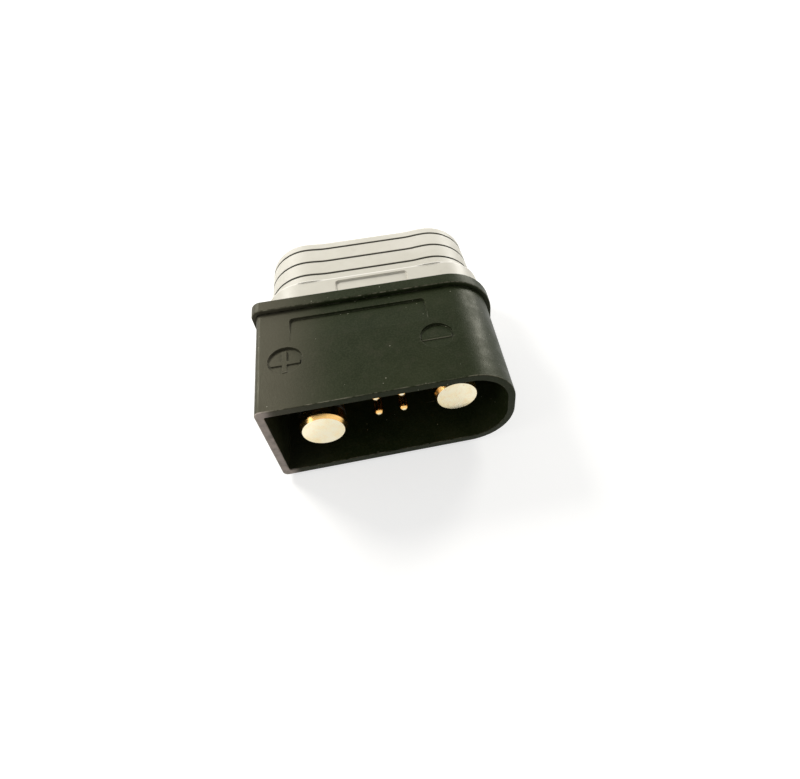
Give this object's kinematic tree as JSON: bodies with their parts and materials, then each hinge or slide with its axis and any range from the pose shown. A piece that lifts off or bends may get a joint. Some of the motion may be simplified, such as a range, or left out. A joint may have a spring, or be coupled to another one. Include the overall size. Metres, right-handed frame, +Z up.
{
  "type": "anti-spark connector",
  "caption": "Keyed battery plug: a dark shroud, flat on one side and round on the other, around power and signal contacts, with a raised collar and a pale grooved rear cover.",
  "frame": {"origin": "under the middle of the part, on the surface that it lies on", "axes": "+X along the width, from the positive contact to the negative one; +Y from the open mouth to the cable outlets; +Z up, through the thickness"},
  "size_m": [0.05, 0.047, 0.0234],
  "materials": {
    "housing_plastic": "fine moulded texture, dark charcoal",
    "cover_plastic": "smooth moulded, pale warm grey",
    "gold_plated": "turned, gold plated",
    "insulator": "smooth, dark",
    "ceramic": "glazed resistor body",
    "spring_steel": "drawn wire"
  },
  "bodies": {
    "root": {"housing": "housing_plastic", "rear_cover": "cover_plastic", "positive_contact": "gold_plated", "tip_electrode": "gold_plated", "insulating_sleeve": "insulator", "precharge_resistor": "ceramic", "contact_spring": "spring_steel", "negative_contact": "gold_plated", "signal_contact_1": "gold_plated", "signal_contact_2": "gold_plated", "signal_contact_3": "gold_plated", "signal_contact_4": "gold_plated"}
  },
  "joints": []
}
